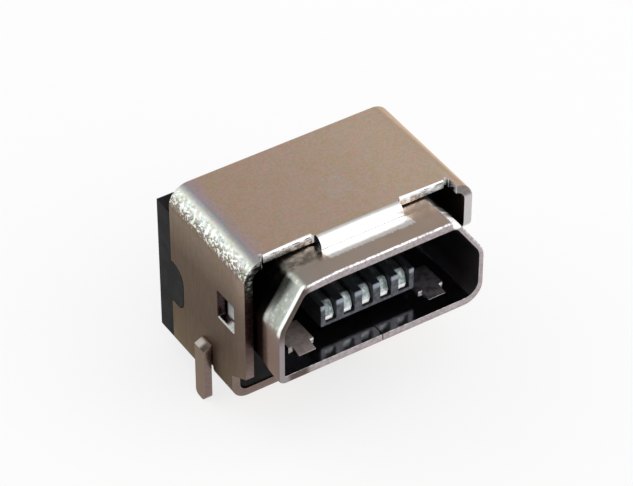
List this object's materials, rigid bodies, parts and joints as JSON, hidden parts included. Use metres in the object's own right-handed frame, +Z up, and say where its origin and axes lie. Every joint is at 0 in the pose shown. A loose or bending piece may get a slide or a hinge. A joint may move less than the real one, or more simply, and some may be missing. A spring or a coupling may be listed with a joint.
{
  "type": "micro usb charging socket",
  "caption": "Board-mounted socket with a flared D-shaped metal mouth, a folded metal cover with through-hole legs and a black plastic core with contacts.",
  "frame": {"origin": "on the board face, on the plane of symmetry, on the line through the two through-hole legs", "axes": "the mouth faces -Y, +Z points up from the board, +X to the right when looking into the socket from behind the plug"},
  "size_m": [0.0084, 0.0066, 0.0067],
  "materials": {
    "cover_metal": "dull tin-plated sheet with fine streaks, a matt top and brighter folds",
    "mouth_metal": "smooth plated sheet, shinier than the cover, with a bright lip",
    "housing_plastic": "black moulded plastic, slightly shiny",
    "riser_plastic": "black moulded plastic, matt",
    "contact_metal": "bright plated strip"
  },
  "bodies": {
    "root": {"cover": "cover_metal", "mouth_shell": "mouth_metal", "housing": "housing_plastic", "riser_block": "riser_plastic", "contact_1": "contact_metal", "contact_2": "contact_metal", "contact_3": "contact_metal", "contact_4": "contact_metal", "contact_5": "contact_metal"}
  },
  "joints": []
}
